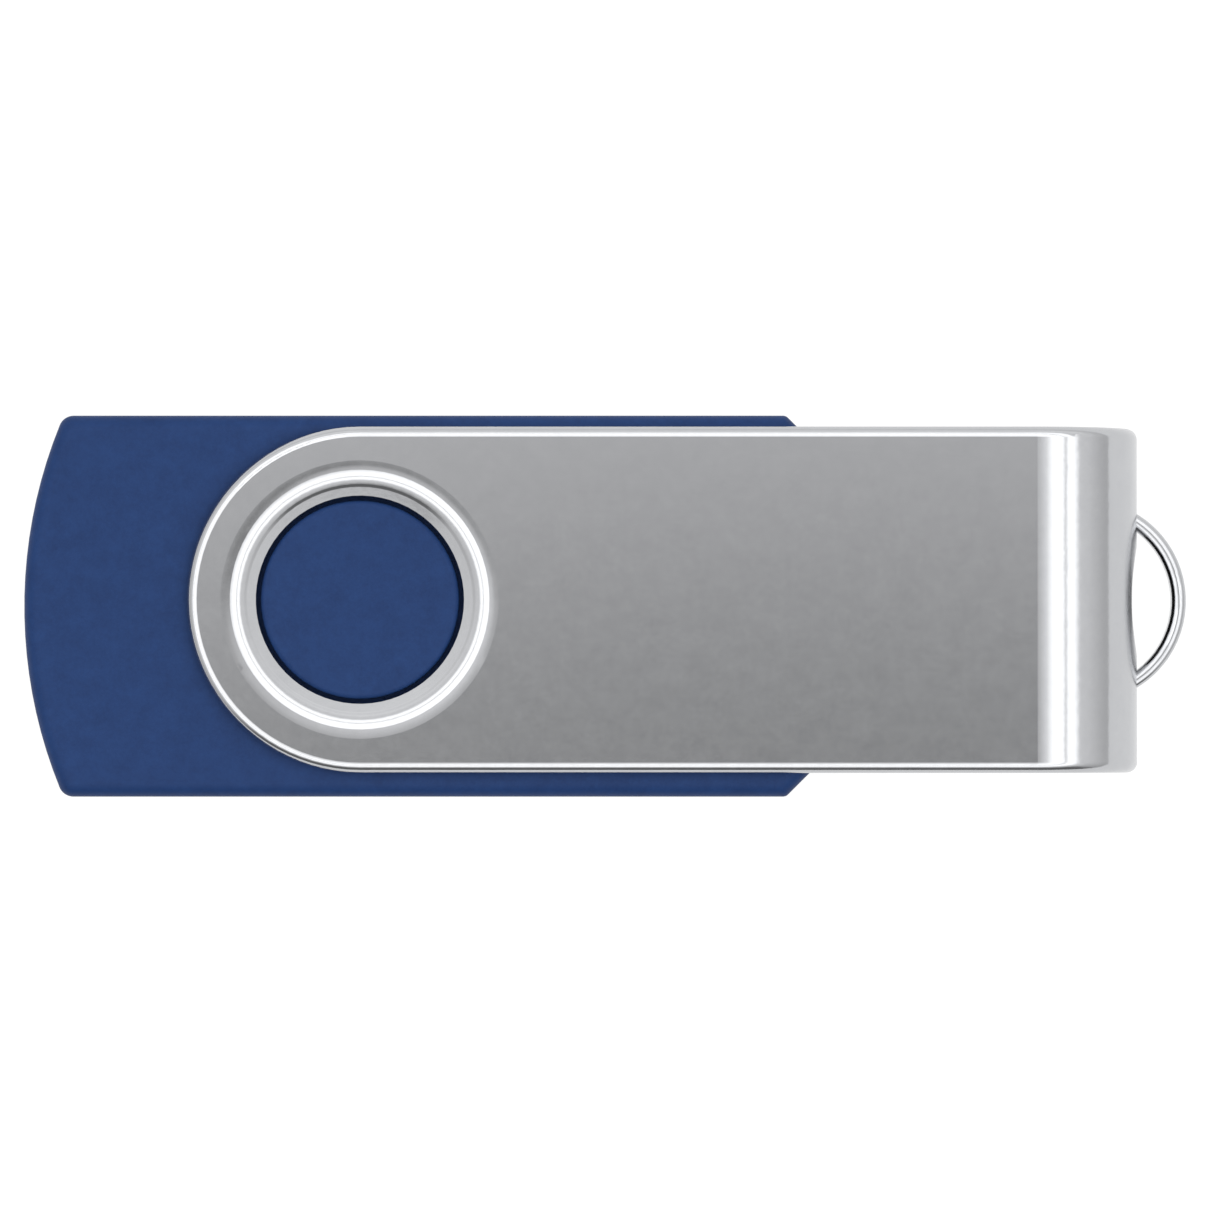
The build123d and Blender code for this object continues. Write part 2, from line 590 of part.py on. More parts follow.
def package(body):
    """Moulded body of a chip, a little above the board, with sloped sides and a pin-one dot."""
    solid = block_at(0, 0, STANDOFF, body)
    top = solid.faces().sort_by(Axis.Z)[-1]
    solid = chamfer(top.edges(), body[2] / 8)
    top_height = STANDOFF + body[2]
    dot_x = PIN_ONE_INSET - body[0] / 2
    dot_y = PIN_ONE_INSET - body[1] / 2
    return solid - disc(PIN_ONE_RADIUS, top_height - PIN_ONE_DEPTH, top_height + 1, dot_x, dot_y)


def under_board(shape):
    """Puts a piece of the memory chip in its place, hanging under the board."""
    return Pos(FLASH_X, 0, -HALF_BOARD) * flipped(shape)


def on_board(shape):
    """Puts a piece of the controller in its place on top of the board."""
    return Pos(CONTROLLER_X, 0, HALF_BOARD) * shape


def flash_leads():
    rows = lead_rows(FLASH_BODY, FLASH_LEAD_REACH, FLASH_LEADS, (0, 180))
    return [under_board(lead) for lead in rows]


def controller_leads():
    rows = lead_rows(CONTROLLER_BODY, CONTROLLER_LEAD_REACH, CONTROLLER_LEADS, (0, 90, 180, 270))
    return [on_board(lead) for lead in rows]


def crystal_base():
    return block_at(SMALL_PARTS_X - CRYSTAL_PLACE[0], CRYSTAL_PLACE[1], HALF_BOARD, CRYSTAL_BASE)


def crystal_lid():
    base_top = HALF_BOARD + CRYSTAL_BASE[2]
    lid = block_at(SMALL_PARTS_X - CRYSTAL_PLACE[0], CRYSTAL_PLACE[1], base_top, CRYSTAL_LID)
    return fillet(edges_at_height(lid, base_top + CRYSTAL_LID[2]), CRYSTAL_LID[2] / 3)


def chip_bodies(places, height):
    """The middles of small two-ended parts, which lie along Y."""
    size = (CHIP_WIDTH, CHIP_LENGTH, height)
    return [block_at(SMALL_PARTS_X - back, y, HALF_BOARD, size) for back, y in places]


def chip_ends(places, height):
    """The metal ends of the same parts."""
    size = (CHIP_WIDTH, CHIP_END, height)
    offset = (CHIP_LENGTH + CHIP_END) / 2
    ends = [(back, y + side * offset) for back, y in places for side in (-1, 1)]
    return [block_at(SMALL_PARTS_X - back, y, HALF_BOARD, size) for back, y in ends]


def led_base():
    return block_at(BOARD_REAR + LED_FROM_REAR, 0, HALF_BOARD, LED_BASE)


def led_lens():
    base_top = HALF_BOARD + LED_BASE[2]
    lens = block_at(BOARD_REAR + LED_FROM_REAR, 0, base_top, LED_LENS)
    return fillet(edges_at_height(lens, base_top + LED_LENS[2]), LED_LENS[2] / 3)


def solder(start, end, y, side, face, gap=0):
    """Solder along X against an upright face at y: it spreads to one side over one face of the board.

    Where a gap lies between the upright face and the board, the solder starts on the board beside it.
    """
    surface = face * HALF_BOARD
    rise = face * min(SOLDER_RISE, CONTACT_THICKNESS)
    toe = y + side * (SOLDER_REACH + gap)
    profile = Polyline((y, surface), (toe, surface), (y, surface + rise), (y, surface))
    return along_x(make_face(Plane.YZ * profile), start, end)


def solder_joints():
    """Solder beside each contact's tail, and along each leg on both faces of the board."""
    joints = []
    for middle in contact_places():
        for side in (-1, 1):
            joints.append(solder(TAIL_END, BOARD_FRONT, middle + side * CONTACT_WIDTH / 2, side, 1))
    for side in (-1, 1):
        for face in (-1, 1):
            leg_face = side * LEG_INNER_Y
            joints.append(solder(LEG_END, BOARD_FRONT, leg_face, -side, face, NOTCH_CLEARANCE))
    return joints


# ------------------------------------------------------------------ the whole drive
def drive():
    """Every node by name, drawn about the pivot axis."""
    pieces = {
        "swivel_cover": swivel_cover(),
        "upper_housing": upper_housing(),
        "lower_housing": lower_housing(),
        "plug_shell": plug_shell(),
        "plug_insulator": plug_insulator(),
        "circuit_board": circuit_board(),
        "flash_package": under_board(package(FLASH_BODY)),
        "flash_leads": flash_leads(),
        "controller_package": on_board(package(CONTROLLER_BODY)),
        "controller_leads": controller_leads(),
        "crystal_base": crystal_base(),
        "crystal_lid": crystal_lid(),
        "capacitor_bodies": chip_bodies(CAPACITOR_PLACES, CAPACITOR_HEIGHT),
        "capacitor_ends": chip_ends(CAPACITOR_PLACES, CAPACITOR_HEIGHT),
        "resistor_bodies": chip_bodies(RESISTOR_PLACES, RESISTOR_HEIGHT),
        "resistor_ends": chip_ends(RESISTOR_PLACES, RESISTOR_HEIGHT),
        "led_base": led_base(),
        "led_lens": led_lens(),
        "solder_joints": solder_joints(),
    }
    pieces.update(contacts())
    return pieces


def main():
    os.makedirs("parts", exist_ok=True)
    for name, shape in drive().items():
        solids = shape if isinstance(shape, list) else shape.solids()
        placed = [Pos(*ORIGIN_SHIFT) * solid for item in solids for solid in item.solids()]
        whole = placed[0] if len(placed) == 1 else Compound(children=placed)
        whole.label = name
        export_step(whole, f"parts/{name}.step")
        print(name, len(placed), "solids")


if __name__ == "__main__":
    main()
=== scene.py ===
from math import cos, pi, radians, sin

import bpy
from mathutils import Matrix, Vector


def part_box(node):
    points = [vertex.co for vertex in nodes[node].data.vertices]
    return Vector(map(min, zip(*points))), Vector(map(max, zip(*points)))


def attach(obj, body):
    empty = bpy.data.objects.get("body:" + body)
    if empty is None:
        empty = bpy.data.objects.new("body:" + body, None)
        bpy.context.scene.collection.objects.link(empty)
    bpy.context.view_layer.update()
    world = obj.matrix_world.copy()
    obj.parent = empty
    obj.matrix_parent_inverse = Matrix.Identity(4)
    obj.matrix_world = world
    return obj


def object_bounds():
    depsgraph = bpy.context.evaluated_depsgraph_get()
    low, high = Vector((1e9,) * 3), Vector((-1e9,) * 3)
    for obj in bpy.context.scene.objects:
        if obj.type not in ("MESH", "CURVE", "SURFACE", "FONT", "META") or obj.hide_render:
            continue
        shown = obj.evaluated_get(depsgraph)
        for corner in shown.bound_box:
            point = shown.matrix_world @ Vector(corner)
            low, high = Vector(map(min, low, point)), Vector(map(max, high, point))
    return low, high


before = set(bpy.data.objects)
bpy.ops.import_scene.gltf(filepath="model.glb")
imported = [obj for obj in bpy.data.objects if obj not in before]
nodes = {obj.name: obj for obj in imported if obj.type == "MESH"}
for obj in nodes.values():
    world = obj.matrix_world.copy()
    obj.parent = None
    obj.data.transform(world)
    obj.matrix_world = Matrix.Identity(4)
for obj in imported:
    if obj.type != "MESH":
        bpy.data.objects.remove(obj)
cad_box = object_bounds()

MM = 0.001

DEGREES = 180 / pi  # in one radian
NOISE_LOW, NOISE_HIGH = 0.3, 0.7  # where most of a noise's values lie

scene = bpy.context.scene


# ---------------------------------------------------------------- small helpers

def linear(colour):
    """A linear colour with alpha from an sRGB hex string."""
    parts = [int(colour[i:i + 2], 16) / 255 for i in (1, 3, 5)]
    return [p / 12.92 if p <= 0.04045 else ((p + 0.055) / 1.055) ** 2.4 for p in parts] + [1.0]


def per(size):
    """The scale of a texture whose features are this many millimetres across."""
    return 1 / (size * MM)


def add(tree, kind, settings=None, values=None, links=None):
    """Adds one node: its settings, the values of its open sockets, and the outputs that feed it."""
    made = tree.nodes.new(kind)
    for name, value in (settings or {}).items():
        setattr(made, name, value)
    for socket, value in (values or {}).items():
        made.inputs[socket].default_value = value
    for socket, source in (links or {}).items():
        tree.links.new(source, made.inputs[socket])
    return made


def finish(name, **fixed):
    """A new material: its tree, its surface shader with the fixed values set, and its coordinates."""
    material = bpy.data.materials.new(name)
    material.use_nodes = True
    tree = material.node_tree
    tree.nodes.clear()
    shader = add(tree, "ShaderNodeBsdfPrincipled")
    for socket, value in fixed.items():
        shader.inputs[socket.replace("_", " ")].default_value = value
    add(tree, "ShaderNodeOutputMaterial", links={"Surface": shader.outputs["BSDF"]})
    return material, tree, shader, add(tree, "ShaderNodeTexCoord").outputs["Object"]


def noise(tree, place, size, detail=2.0, roughness=0.5, stretch=(1, 1, 1)):
    """Soft noise with features of a size in millimetres, longer where the stretch is over 1."""
    if stretch != (1, 1, 1):
        place = add(tree, "ShaderNodeMapping", values={"Scale": [1 / s for s in stretch]},
                    links={"Vector": place}).outputs["Vector"]
    values = {"Scale": per(size), "Detail": detail, "Roughness": roughness}
    return add(tree, "ShaderNodeTexNoise", values=values, links={"Vector": place}).outputs["Fac"]


def between(tree, share, first, last):
    """A value that goes from first to last as noise goes from its low end to its high end."""
    values = {"From Min": NOISE_LOW, "From Max": NOISE_HIGH, "To Min": first, "To Max": last}
    return add(tree, "ShaderNodeMapRange", values=values, links={"Value": share}).outputs["Result"]


def sums(tree, operation, first, second=None):
    """One step of arithmetic on sockets or numbers."""
    given = {0: first, 1: second}
    values = {i: v for i, v in given.items() if isinstance(v, (int, float))}
    links = {i: v for i, v in given.items() if v is not None and i not in values}
    return add(tree, "ShaderNodeMath", {"operation": operation}, values, links).outputs[0]


def band(tree, value, start, end):
    """Rises smoothly from 0 to 1 as the value goes from start to end."""
    return add(tree, "ShaderNodeMapRange", {"interpolation_type": "SMOOTHSTEP"},
               {"From Min": start, "From Max": end}, {"Value": value}).outputs["Result"]


def shade(tree, share, first, last):
    """A colour between two sRGB hex values."""
    return add(tree, "ShaderNodeMix", {"data_type": "RGBA"}, {6: linear(first), 7: linear(last)},
               {0: share}).outputs[2]


def relief(tree, height, depth):
    """A surface normal from a height, with its depth in millimetres."""
    bump = add(tree, "ShaderNodeBump", values={"Distance": depth * MM}, links={"Height": height})
    return bump.outputs["Normal"]


def lay(tree, shader, **sources):
    """Feeds the shader's sockets, such as Base_Color, Roughness and Normal."""
    for socket, source in sources.items():
        tree.links.new(source, shader.inputs[socket.replace("_", " ")])


def dress(material, *names):
    """Gives a material to named parts of the frame."""
    for name in names:
        for place in nodes[name].material_slots:
            place.material = material


# ---------------------------------------------------------------- finishes

# How far up a piece of sheet faces, from 0 for upright to 1 for level, where each finish starts and is full.
BENT_SHEET = (0.999, 0.97)
ROUNDED_RIM = (0.75, 0.45)
RIM_DULLING = 0.12  # added to the roughness
GLASS_THREADS = 0.5  # millimetres apart


def tumbled_steel():
    """Stainless steel sheet, rolled bright, pressed and tumbled.

    Tumbling leaves a faint mottle of brighter and duller patches on the flat plates. Bending
    stretches the skin, so the bends are slightly rippled and the edge of a reflection wanders
    there. The rounded rims are duller, which blurs what they reflect.
    """
    material, tree, shader, place = finish("tumbled_stainless_steel", Metallic=1.0)
    patches = noise(tree, place, 1.3, 6.0, 0.9)
    facing = add(tree, "ShaderNodeSeparateXYZ",
                 links={"Vector": add(tree, "ShaderNodeTexCoord").outputs["Normal"]}).outputs["Z"]
    level = sums(tree, "ABSOLUTE", facing)
    bent = band(tree, level, *BENT_SHEET)
    ripples = sums(tree, "MULTIPLY", bent, noise(tree, place, 0.5))
    rim = band(tree, level, *ROUNDED_RIM)
    dulling = sums(tree, "MULTIPLY", rim, RIM_DULLING)
    roughness = sums(tree, "ADD", between(tree, patches, 0.1, 0.13), dulling)
    lay(tree, shader, Base_Color=shade(tree, patches, "#B4B5B8", "#C3C4C6"),
        Roughness=roughness, Normal=relief(tree, ripples, 0.004))
    return material


def blue_abs():
    """ABS plastic, moulded in a spark-eroded tool.

    The eroded tool leaves a dense grain that scatters light, so the blue looks deep and
    matte, with only a soft sheen along the rounded edges.
    """
    material, tree, shader, place = finish("blue_abs_spark_grain", IOR=1.53, Specular_IOR_Level=0.17)
    grain = noise(tree, place, 0.13, 3.0, 0.65)
    flow = noise(tree, place, 1.2, 6.0, 0.9)
    lay(tree, shader, Base_Color=shade(tree, flow, "#031D45", "#1A3A6C"),
        Roughness=between(tree, grain, 0.48, 0.58), Normal=relief(tree, grain, 0.004))
    return material


def nickel_plate():
    """Steel strip, drawn, folded and nickel plated: bright, a little warm, with faint lines along it."""
    material, tree, shader, place = finish("nickel_plated_steel", Metallic=1.0)
    lines = noise(tree, place, 0.05, 3.0, 0.6, stretch=(60, 1, 1))
    cloud = noise(tree, place, 2.0)
    lay(tree, shader, Base_Color=shade(tree, cloud, "#CBC8C1", "#D2CFC8"),
        Roughness=between(tree, lines, 0.2, 0.3), Normal=relief(tree, lines, 0.0006))
    return material


def glass_filled_pbt():
    """PBT plastic filled with glass fibre and moulded black: satin, with short streaks along the flow."""
    material, tree, shader, place = finish("black_glass_filled_pbt", IOR=1.57)
    streaks = noise(tree, place, 0.09, 3.0, 0.6, stretch=(5, 1, 1))
    lay(tree, shader, Base_Color=shade(tree, streaks, "#141417", "#1B1B1E"),
        Roughness=between(tree, streaks, 0.38, 0.5), Normal=relief(tree, streaks, 0.0015))
    return material


def gold_plate():
    """Copper alloy spring strip, plated with gold over nickel: bright yellow, paler in patches."""
    material, tree, shader, place = finish("gold_plated_contact_strip", Metallic=1.0)
    cloud = noise(tree, place, 0.8)
    lines = noise(tree, place, 0.04, 2.0, 0.5, stretch=(40, 1, 1))
    lay(tree, shader, Base_Color=shade(tree, cloud, "#E6BE66", "#EDCB80"),
        Roughness=between(tree, lines, 0.18, 0.28), Normal=relief(tree, lines, 0.0005))
    return material


def solder_mask():
    """Glass-epoxy board under green solder mask: the woven glass shows as a faint raised grid."""
    material, tree, shader, place = finish("green_solder_mask_on_fr4", IOR=1.52, Coat_Weight=0.4,
                                           Coat_Roughness=0.12)
    parts = add(tree, "ShaderNodeSeparateXYZ", links={"Vector": place})
    weave = [sums(tree, "SINE", sums(tree, "MULTIPLY", parts.outputs[axis], 2 * pi * per(GLASS_THREADS)))
             for axis in "XY"]
    grid = sums(tree, "MULTIPLY", *weave)
    cloud = noise(tree, place, 1.5)
    lay(tree, shader, Base_Color=shade(tree, cloud, "#0B4A26", "#11592F"),
        Roughness=between(tree, cloud, 0.28, 0.36), Normal=relief(tree, grid, 0.004))
    return material


def mould_compound():
    """Epoxy mould compound full of silica: near black and matte, with a fine sandy grain."""
    material, tree, shader, place = finish("black_mould_compound", IOR=1.55)
    sand = noise(tree, place, 0.07, 3.0, 0.7)
    lay(tree, shader, Base_Color=shade(tree, sand, "#18191B", "#212224"),
        Roughness=between(tree, sand, 0.55, 0.68), Normal=relief(tree, sand, 0.005))
    return material


def tin_plate():
    """Matte tin, plated: pale grey crystals that blur what they reflect."""
    material, tree, shader, place = finish("matte_tin_plate", Metallic=1.0)
    crystals = noise(tree, place, 0.06, 3.0, 0.6)
    lay(tree, shader, Base_Color=shade(tree, crystals, "#BFC1C2", "#D0D1D0"),
        Roughness=between(tree, crystals, 0.3, 0.42), Normal=relief(tree, crystals, 0.002))
    return material


def reflowed_solder():
    """Tin alloy solder that melted and set: bright and slightly rippled."""
    material, tree, shader, place = finish("reflowed_solder", Metallic=1.0)
    ripples = noise(tree, place, 0.3)
    lay(tree, shader, Base_Color=shade(tree, ripples, "#C4C6C8", "#D4D6D6"),
        Roughness=between(tree, ripples, 0.14, 0.24), Normal=relief(tree, ripples, 0.012))
    return material


def fired_ceramic():
    """Alumina, pressed and fired dark: dense, with a dry sheen."""
    material, tree, shader, place = finish("fired_dark_alumina", IOR=1.7)
    grit = noise(tree, place, 0.05, 3.0, 0.7)
    lay(tree, shader, Base_Color=shade(tree, grit, "#2C2C30", "#3A3A3D"),
        Roughness=between(tree, grit, 0.45, 0.55), Normal=relief(tree, grit, 0.002))
    return material


def brushed_lid():
    """Nickel-iron lid, plated and brushed: fine straight lines, slightly yellow."""
    material, tree, shader, place = finish("brushed_nickel_iron_lid", Metallic=1.0, Anisotropic=0.4)
    lines = noise(tree, place, 0.03, 3.0, 0.6, stretch=(50, 1, 1))
    lay(tree, shader, Base_Color=shade(tree, lines, "#C9C3B4", "#D6D1C4"),
        Roughness=between(tree, lines, 0.22, 0.34), Normal=relief(tree, lines, 0.0008))
    return material


def titanate_ceramic():
    """Barium titanate capacitor body, fired and unglazed: tan, even and chalky."""
    material, tree, shader, place = finish("tan_titanate_ceramic", IOR=1.6)
    chalk = noise(tree, place, 0.1, 3.0, 0.6)
    lay(tree, shader, Base_Color=shade(tree, chalk, "#9C7A55", "#AC8962"),
        Roughness=between(tree, chalk, 0.5, 0.62), Normal=relief(tree, chalk, 0.002))
    return material


def glazed_resistor():
    """Resistor with a fired black glass coat: glossy, slightly uneven at its edges."""
    material, tree, shader, place = finish("black_glass_glaze", IOR=1.5, Coat_Weight=0.5, Coat_Roughness=0.08)
    dips = noise(tree, place, 0.25)
    lay(tree, shader, Base_Color=shade(tree, dips, "#101114", "#17181C"),
        Roughness=between(tree, dips, 0.2, 0.3), Normal=relief(tree, dips, 0.004))
    return material


def led_package():
    """White reflector plastic, moulded: bright, with a soft satin face."""
    material, tree, shader, place = finish("white_reflector_plastic", IOR=1.55)
    cloud = noise(tree, place, 0.2)
    lay(tree, shader, Base_Color=shade(tree, cloud, "#E3E1DA", "#EDEBE5"),
        Roughness=between(tree, cloud, 0.35, 0.45), Normal=relief(tree, cloud, 0.001))
    return material


def led_resin():
    """Clear epoxy with yellow phosphor stirred in, cast: milky and glossy."""
    material, tree, shader, place = finish("phosphor_epoxy", IOR=1.54, Transmission_Weight=0.35)
    cloud = noise(tree, place, 0.12)
    lay(tree, shader, Base_Color=shade(tree, cloud, "#E2C866", "#EAD684"),
        Roughness=between(tree, cloud, 0.12, 0.2), Normal=relief(tree, cloud, 0.001))
    return material


tin = tin_plate()
dress(tumbled_steel(), "swivel_cover")
dress(blue_abs(), "upper_housing", "lower_housing")
dress(nickel_plate(), "plug_shell")
dress(glass_filled_pbt(), "plug_insulator")
dress(gold_plate(), "contact_power", "contact_data_minus", "contact_data_plus", "contact_ground")
dress(solder_mask(), "circuit_board")
dress(mould_compound(), "flash_package", "controller_package")
dress(tin, "flash_leads", "controller_leads", "capacitor_ends", "resistor_ends")
dress(fired_ceramic(), "crystal_base")
dress(brushed_lid(), "crystal_lid")
dress(titanate_ceramic(), "capacitor_bodies")
dress(glazed_resistor(), "resistor_bodies")
dress(led_package(), "led_base")
dress(led_resin(), "led_lens")
dress(reflowed_solder(), "solder_joints")


# ---------------------------------------------------------------- pads on the board

PAD_HEIGHT = 0.03
LEAD_PITCH = 0.5
CONTROLLER_LEADS = 12  # on each side
FLASH_LEADS = 24  # on each end
LEAD_PAD = (0.75, 0.3)  # along and across a lead
PAD_PAST_TIP = 0.2  # from the lead's tip to the end of its pad
ROUND_PAD = 0.45  # radius
ROUND_PITCH = 1.8
ROUND_PADS = (3, 5)  # along and across the board


def grown(name, tree, rows, sizes):
    """Runs a tree on the middles of its rows and keeps the result as one plain mesh."""
    mesh = bpy.data.meshes.new(name)
    mesh.from_pydata([middle for middle, turn in rows], [], [])
    turns = mesh.attributes.new("turn", "FLOAT", "POINT")
    turns.data.foreach_set("value", [turn for middle, turn in rows])
    piece = bpy.data.objects.new(name, mesh)
    scene.collection.objects.link(piece)
    modifier = piece.modifiers.new(name, "NODES")
    modifier.node_group = tree
    for socket in tree.interface.items_tree:
        if socket.name in sizes:
            modifier[socket.identifier] = sizes[socket.name]
    shown = piece.evaluated_get(bpy.context.evaluated_depsgraph_get())
    piece_mesh = bpy.data.meshes.new_from_object(shown)
    piece.modifiers.remove(modifier)
    piece.data = piece_mesh
    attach(piece, "drive_body")


def pads_tree(name, sizes, shape):
    """A grid of flat pads, stood at each point of the incoming mesh and turned by its turn.

    The shape function makes one pad from the tree and its inputs.
    """
    tree = bpy.data.node_groups.new(name, "GeometryNodeTree")
    tree.interface.new_socket("Geometry", in_out="INPUT", socket_type="NodeSocketGeometry")
    tree.interface.new_socket("Geometry", in_out="OUTPUT", socket_type="NodeSocketGeometry")
    for label in ("Count Along", "Count Across"):
        tree.interface.new_socket(label, in_out="INPUT", socket_type="NodeSocketInt")
    for label in ("Pitch", *sizes):
        tree.interface.new_socket(label, in_out="INPUT", socket_type="NodeSocketFloat")
    given = add(tree, "NodeGroupInput").outputs
    span = [sums(tree, "MULTIPLY", given["Pitch"], sums(tree, "SUBTRACT", given[label], 1.0))
            for label in ("Count Along", "Count Across")]
    grid = add(tree, "GeometryNodeMeshGrid", links={
        "Size X": span[0], "Size Y": span[1],
        "Vertices X": given["Count Along"], "Vertices Y": given["Count Across"]})
    row = add(tree, "GeometryNodeInstanceOnPoints",
              links={"Points": grid.outputs["Mesh"], "Instance": shape(tree, given)})
    turn = add(tree, "GeometryNodeInputNamedAttribute", {"data_type": "FLOAT"}, {"Name": "turn"})
    turned = add(tree, "ShaderNodeCombineXYZ", links={"Z": turn.outputs["Attribute"]})
    rows = add(tree, "GeometryNodeInstanceOnPoints",
               links={"Points": given["Geometry"], "Instance": row.outputs["Instances"],
                      "Rotation": turned.outputs["Vector"]})
    real = add(tree, "GeometryNodeRealizeInstances", links={"Geometry": rows.outputs["Instances"]})
    done = add(tree, "GeometryNodeSetMaterial", values={"Material": tin},
               links={"Geometry": real.outputs["Geometry"]})
    add(tree, "NodeGroupOutput", links={"Geometry": done.outputs["Geometry"]})
    return tree


def square_pad(tree, given):
    """One pad under a lead."""
    size = add(tree, "ShaderNodeCombineXYZ",
               links={"X": given["Pad Length"], "Y": given["Pad Width"], "Z": given["Pad Height"]})
    return add(tree, "GeometryNodeMeshCube", links={"Size": size.outputs["Vector"]}).outputs["Mesh"]


def round_pad(tree, given):
    """One test pad."""
    return add(tree, "GeometryNodeMeshCylinder",
               links={"Radius": given["Pad Radius"], "Depth": given["Pad Height"]}).outputs["Mesh"]


def row_ends(node, z, both_ways):
    """The middles of the rows of lead tips, in from the tips by the pads' own reach, and their turns."""
    low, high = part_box(node)
    middle = (low + high) / 2
    inset = (LEAD_PAD[0] / 2 - PAD_PAST_TIP) * MM
    rows = [((low.x + inset, middle.y, z), 0.0), ((high.x - inset, middle.y, z), 0.0)]
    if both_ways:
        rows += [((middle.x, low.y + inset, z), pi / 2), ((middle.x, high.y - inset, z), pi / 2)]
    return rows


def board_pads():
    """Tinned pads under the rows of leads, and a grid of round test pads on the free end of the board."""
    under, over = (corner.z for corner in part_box("circuit_board"))
    lift = PAD_HEIGHT / 2 * MM
    leads = pads_tree("lead_pads", ("Pad Length", "Pad Width", "Pad Height"), square_pad)
    sizes = {"Count Along": 1, "Pitch": LEAD_PITCH * MM, "Pad Length": LEAD_PAD[0] * MM,
             "Pad Width": LEAD_PAD[1] * MM, "Pad Height": PAD_HEIGHT * MM}
    grown("controller_pads", leads, row_ends("controller_leads", over + lift, True),
          {**sizes, "Count Across": CONTROLLER_LEADS})
    grown("flash_pads", leads, row_ends("flash_leads", under - lift, False),
          {**sizes, "Count Across": FLASH_LEADS})
    tests = pads_tree("test_pads", ("Pad Radius", "Pad Height"), round_pad)
    free = (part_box("led_base")[1].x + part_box("resistor_ends")[0].x) / 2
    grown("test_pads", tests, [((free, 0.0, over + lift), 0.0)],
          {"Count Along": ROUND_PADS[0], "Count Across": ROUND_PADS[1], "Pitch": ROUND_PITCH * MM,
           "Pad Radius": ROUND_PAD * MM, "Pad Height": PAD_HEIGHT * MM})


board_pads()


# ---------------------------------------------------------------- the studio

FLOOR_SIZE = 3.0
FLOOR_HEIGHT = -0.05 * MM  # a hair under the cover, so the two faces do not coincide
CAMERA_DISTANCE = 0.450
CAMERA_TILT = radians(0.75)
CAMERA_SEES = (0.01, 20)  # metres, from the nearest to the farthest
CAMERA_LENS = 267.0
SENSOR_WIDTH = 36.0


def light_table():
    """A white acrylic table top, lit from within, so shadows on it stay faint."""
    half = FLOOR_SIZE / 2
    mesh = bpy.data.meshes.new("table_top")
    corners = [(-half, -half, FLOOR_HEIGHT), (half, -half, FLOOR_HEIGHT), (half, half, FLOOR_HEIGHT),
               (-half, half, FLOOR_HEIGHT)]
    mesh.from_pydata(corners, [], [(0, 1, 2, 3)])
    table = bpy.data.objects.new("table_top", mesh)
    scene.collection.objects.link(table)
    material, tree, shader, place = finish("lit_white_acrylic", Roughness=0.9, Specular_IOR_Level=0.0,
                                           Emission_Color=(1, 1, 1, 1), Emission_Strength=0.93)
    lay(tree, shader, Base_Color=shade(tree, noise(tree, place, 60.0), "#5C5C5C", "#606060"))
    mesh.materials.append(material)


# The tent's brightness on its wall, by degrees from straight overhead. A seam runs round it.
TENT_PEAK = 2.1
TENT_WALL = [(0, TENT_PEAK), (32.2, TENT_PEAK), (33.0, 1.1), (35.2, 1.1), (36.0, TENT_PEAK), (45, TENT_PEAK),
             (51, 1.05), (61, 1.0), (83, 0.73), (90, 0.7)]
# The lid at the top of the tent is dimmer: its brightness by degrees from its middle.
TENT_LID = [(0, 0.88), (8, 0.92), (11, 1.2), (14.5, 1.75), (18, TENT_PEAK)]
LID_CENTRE = (sin(radians(1.5)), sin(radians(-1.5)))
# The camera looks through a hole in the lid: an oval, by its share of the way to the rim.
LID_HOLE = [(0, 0.36), (0.3, 0.38), (0.45, 0.44), (0.56, 0.56), (0.73, 0.92), (1.0, 1.0)]
HOLE_RADII = (sin(radians(12)), sin(radians(4.5)))
# The foot of the tent, by how far round it is from -Y to +Y: a dark doorway stands at -Y.
TENT_FOOT = [(-1, 0.22), (-0.8, 0.25), (-0.6, 0.8), (0, 1.0), (0.7, 1.2), (1, 1.3)]
FOOT_STARTS = (54.0, 64.0)  # degrees from overhead where the foot begins and is full
SHORTEST_REACH = 0.001  # keeps a division finite straight overhead


def ramp(tree, source, stops, peak):
    """A brightness read off a table of (place, level), as a share of the peak."""
    low, high = stops[0][0], stops[-1][0]
    share = add(tree, "ShaderNodeMapRange", values={"From Min": low, "From Max": high},
                links={"Value": source})
    made = add(tree, "ShaderNodeValToRGB", links={"Fac": share.outputs["Result"]})
    points = made.color_ramp.elements
    while len(points) < len(stops):
        points.new(0.5)
    for point, (place, level) in zip(points, stops):
        point.position = (place - low) / (high - low)
        point.color = (level / peak, level / peak, level / peak, 1)
    return made.outputs["Color"]


def reach(tree, x, y):
    """The length of a flat vector."""
    return sums(tree, "SQRT", sums(tree, "ADD", sums(tree, "MULTIPLY", x, x), sums(tree, "MULTIPLY", y, y)))


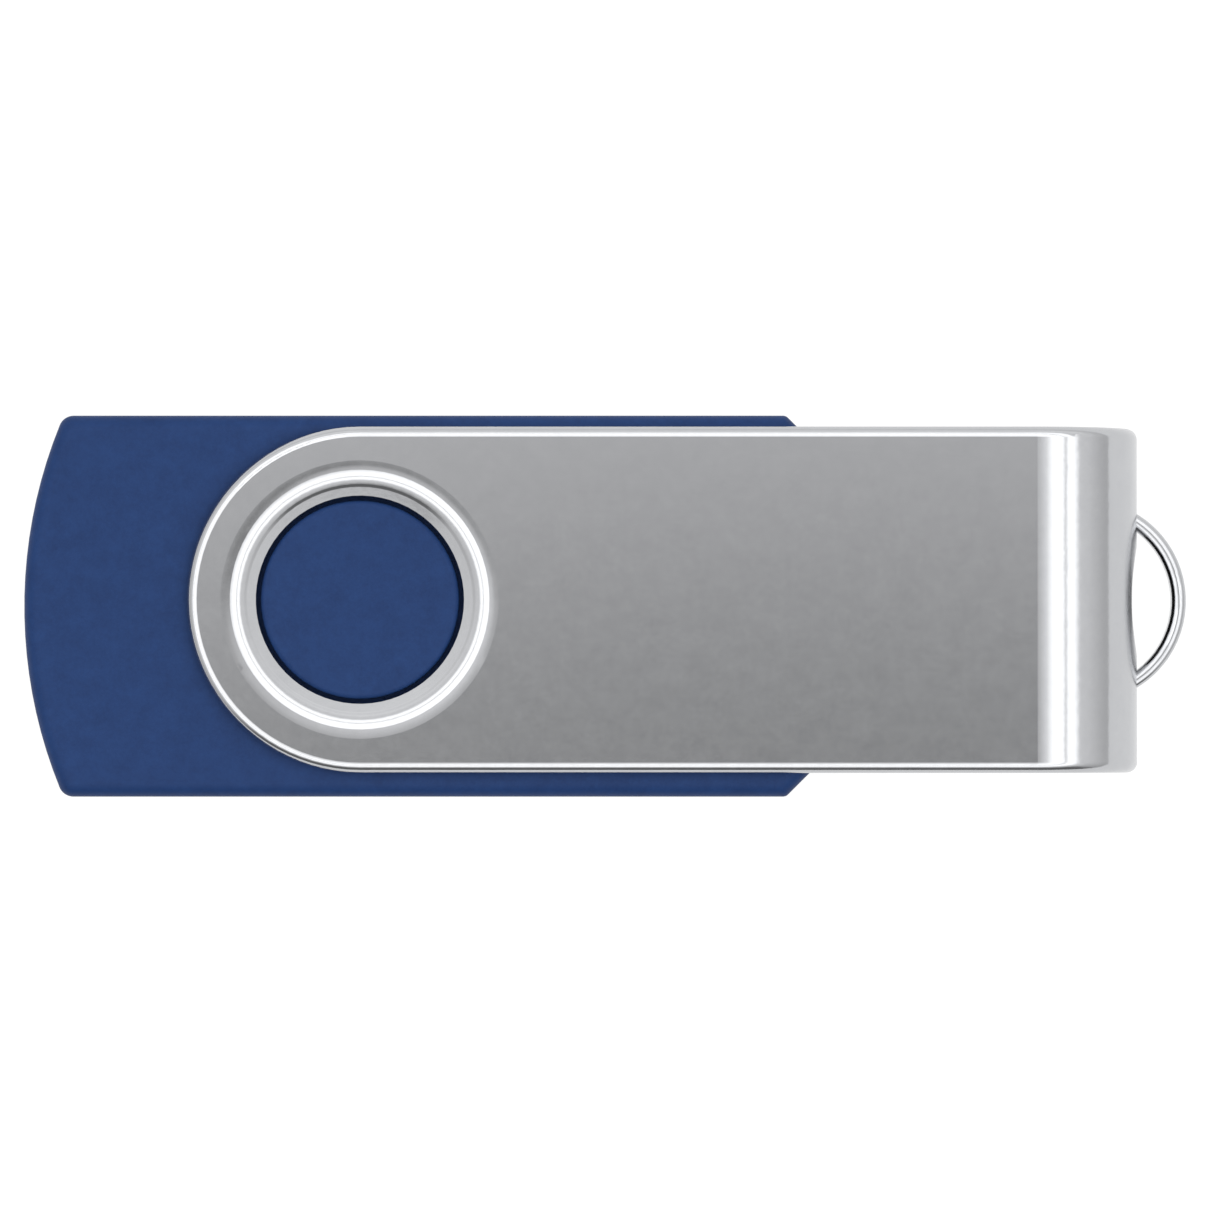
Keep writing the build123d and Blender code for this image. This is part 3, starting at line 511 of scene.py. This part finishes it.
def light_tent():
    """A white tent lit from outside: bright shoulders, a darker foot, and an opening for the camera."""
    world = bpy.data.worlds.new("light_tent")
    world.use_nodes = True
    tree = world.node_tree
    tree.nodes.clear()
    towards = add(tree, "ShaderNodeSeparateXYZ",
                  links={"Vector": add(tree, "ShaderNodeTexCoord").outputs["Generated"]})
    x, y, z = (towards.outputs[axis] for axis in "XYZ")
    overhead = sums(tree, "MULTIPLY", sums(tree, "ARCCOSINE", z), DEGREES)
    wall = ramp(tree, overhead, TENT_WALL, TENT_PEAK)
    aside = [sums(tree, "SUBTRACT", axis, middle) for axis, middle in zip((x, y), LID_CENTRE)]
    from_middle = sums(tree, "MULTIPLY", sums(tree, "ARCSINE", reach(tree, *aside)), DEGREES)
    lid = ramp(tree, from_middle, TENT_LID, TENT_PEAK)
    share_out = [sums(tree, "DIVIDE", distance, radius) for distance, radius in zip(aside, HOLE_RADII)]
    hole = ramp(tree, reach(tree, *share_out), LID_HOLE, LID_HOLE[-1][1])
    flat_length = sums(tree, "MAXIMUM", reach(tree, x, y), SHORTEST_REACH)
    foot_peak = TENT_FOOT[-1][1]
    foot = ramp(tree, sums(tree, "DIVIDE", y, flat_length), TENT_FOOT, foot_peak)
    foot = sums(tree, "MULTIPLY", foot, foot_peak)
    low_down = band(tree, overhead, *FOOT_STARTS)
    foot = sums(tree, "ADD", 1.0, sums(tree, "MULTIPLY", low_down, sums(tree, "SUBTRACT", foot, 1.0)))
    level = wall
    for part in (lid, hole, foot):
        level = sums(tree, "MULTIPLY", level, part)
    glow = add(tree, "ShaderNodeBackground", values={"Strength": TENT_PEAK}, links={"Color": level})
    add(tree, "ShaderNodeOutputWorld", links={"Surface": glow.outputs["Background"]})
    scene.world = world


def camera():
    """Looks down on the cover, tilted a little towards the front."""
    low, high = cad_box
    aim = (low + high) / 2
    made = bpy.data.cameras.new("camera")
    made.lens, made.sensor_width = CAMERA_LENS, SENSOR_WIDTH
    made.clip_start, made.clip_end = CAMERA_SEES
    eye = bpy.data.objects.new("camera", made)
    eye.location = aim + Vector((0, -sin(CAMERA_TILT), cos(CAMERA_TILT))) * CAMERA_DISTANCE
    eye.rotation_euler = (CAMERA_TILT, 0, 0)
    scene.collection.objects.link(eye)
    scene.camera = eye


light_table()
light_tent()
camera()
scene.view_settings.view_transform = "Standard"
